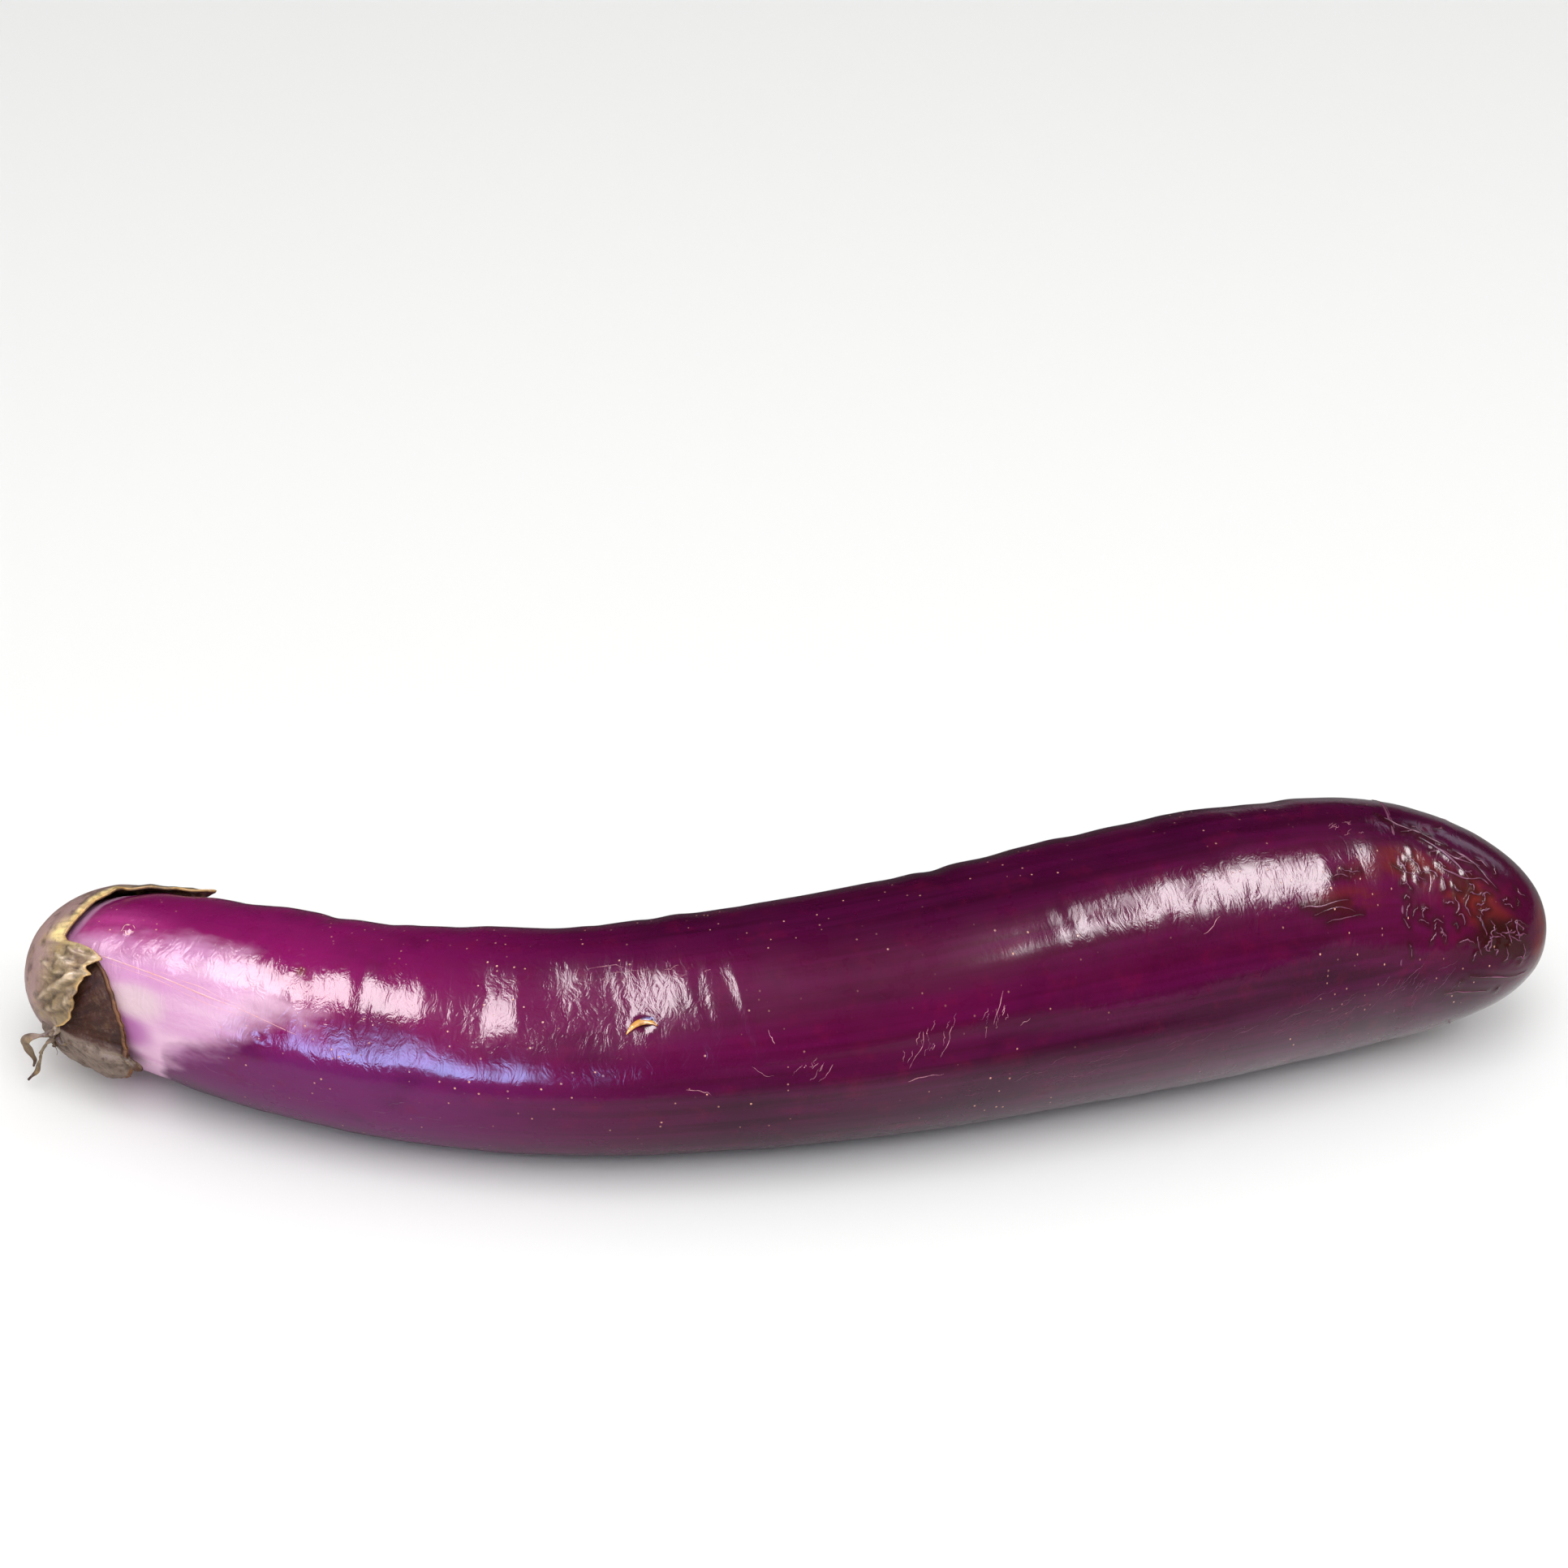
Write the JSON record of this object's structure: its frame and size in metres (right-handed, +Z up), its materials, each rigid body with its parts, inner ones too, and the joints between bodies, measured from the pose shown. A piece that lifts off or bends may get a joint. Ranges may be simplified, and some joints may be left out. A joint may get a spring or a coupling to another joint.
{
  "type": "eggplant",
  "caption": "Long slender bowed eggplant lying on its side, a slim neck under a dried calyx with folded-back sepal and cut stem, swelling to a blunt rounded blossom end.",
  "frame": {"origin": "under the middle of the bounding box, on the surface that the fruit lies on", "axes": "+X from the neck to the blossom end along the fruit's length, -Y towards the outside of its bow, +Z up"},
  "size_m": [0.257, 0.0718, 0.0452],
  "materials": {
    "skin": "glossy waxy purple vegetable skin, paler at the neck",
    "husk": "dried leathery calyx, matt brown and olive grey",
    "cut_stem": "dried corky cut stem, matt"
  },
  "bodies": {
    "root": {"fruit": "skin", "calyx": "husk", "stem": "cut_stem"}
  },
  "joints": []
}
